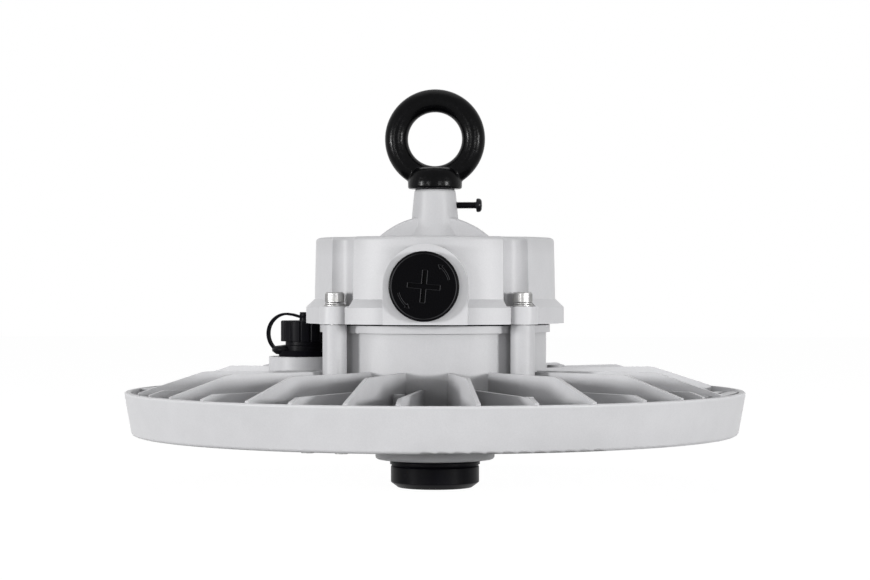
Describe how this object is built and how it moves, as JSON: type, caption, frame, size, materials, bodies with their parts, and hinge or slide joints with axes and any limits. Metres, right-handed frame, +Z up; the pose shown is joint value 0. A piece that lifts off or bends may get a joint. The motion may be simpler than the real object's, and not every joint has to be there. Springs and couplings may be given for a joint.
{
  "type": "high bay light",
  "caption": "Round high bay light: finned cast heat sink with a driver drum, cast cover with eye bolt, capped connector, LED lens and a capped sensor socket below.",
  "frame": {"origin": "centre of the flat lower end of the sensor cap, on the lamp's axis", "axes": "+Z up along the lamp's axis, through the eye bolt; the blanking plug faces -Y, and the connector is on the -X side"},
  "size_m": [0.279, 0.279, 0.1801],
  "materials": {
    "cast_paint": "fine textured powder coat, light grey",
    "black_paint": "gloss black coating on steel",
    "steel": "zinc plated or stainless",
    "black_steel": "black oxide on steel, slightly glossy",
    "black_plastic": "moulded, fine matt",
    "rubber": "matt black seal",
    "board_white": "white solder mask on an aluminium board",
    "led_yellow": "phosphor under clear resin",
    "lens_clear": "clear moulded polycarbonate",
    "driver_case": "plain sheet",
    "terminal_white": "natural polyamide"
  },
  "bodies": {
    "root": {"heat_sink": "cast_paint", "top_cover": "cast_paint", "sensor_collar": "cast_paint", "eye_bolt": "black_paint", "flat_washers": "steel", "spring_washers": "steel", "cover_screws": "steel", "board_screws": "steel", "lens_screws": "steel", "collar_screws": "steel", "driver_screws": "steel", "terminal_screws": "steel", "eye_lock_screw": "black_steel", "blanking_plug": "black_plastic", "connector_socket": "black_plastic", "connector_cap": "black_plastic", "sensor_cap": "black_plastic", "sensor_socket": "black_plastic", "cover_gasket": "rubber", "eye_seal": "rubber", "plug_seal": "rubber", "connector_seal": "rubber", "cap_strap": "rubber", "lens_gaskets": "rubber", "sensor_seal": "rubber", "wire_grommet": "rubber", "led_board": "board_white", "led_chips": "led_yellow", "lens_plate": "lens_clear", "driver": "driver_case", "terminal_block": "terminal_white"}
  },
  "joints": []
}
